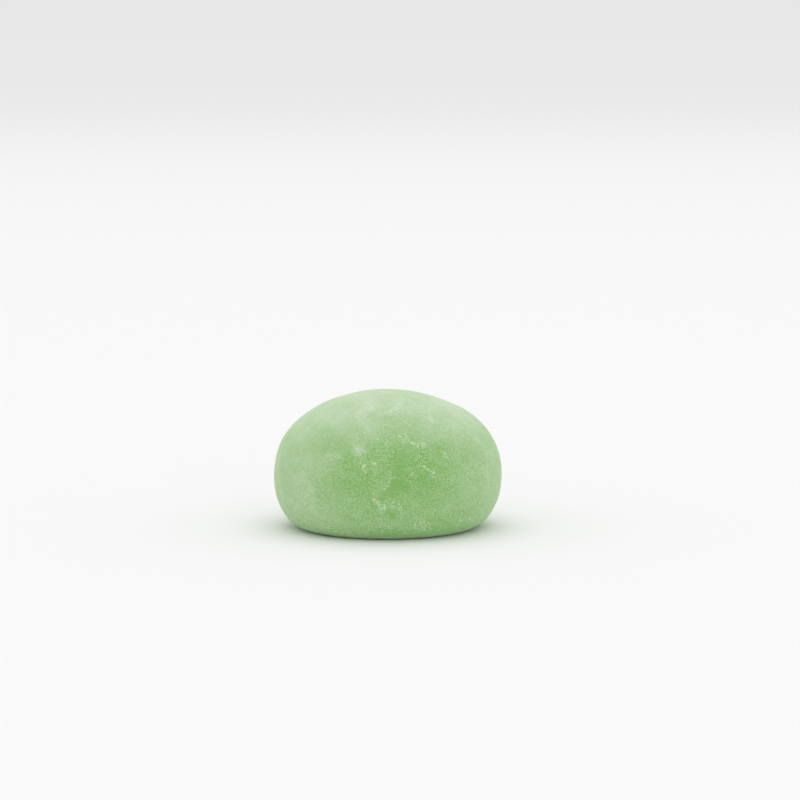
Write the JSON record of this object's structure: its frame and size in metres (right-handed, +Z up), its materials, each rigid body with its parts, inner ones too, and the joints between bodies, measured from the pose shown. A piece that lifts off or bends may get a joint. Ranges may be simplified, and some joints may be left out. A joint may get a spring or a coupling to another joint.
{
  "type": "mochi rice cake",
  "caption": "Round green mochi of soft rice dough, domed with a flat foot, dusted with white starch.",
  "frame": {"origin": "middle of the flat underside that the mochi rests on", "axes": "+Z up through the crown, -Y towards the front, +X to the right seen from the front"},
  "size_m": [0.045, 0.0446, 0.0272],
  "materials": {
    "dusted_dough": "matt green rice dough with a thin, uneven dusting of white starch",
    "starch": "matt white starch in loose grains, which only the visual model lays on the dough"
  },
  "bodies": {
    "root": {"mochi": "dusted_dough"}
  },
  "joints": []
}
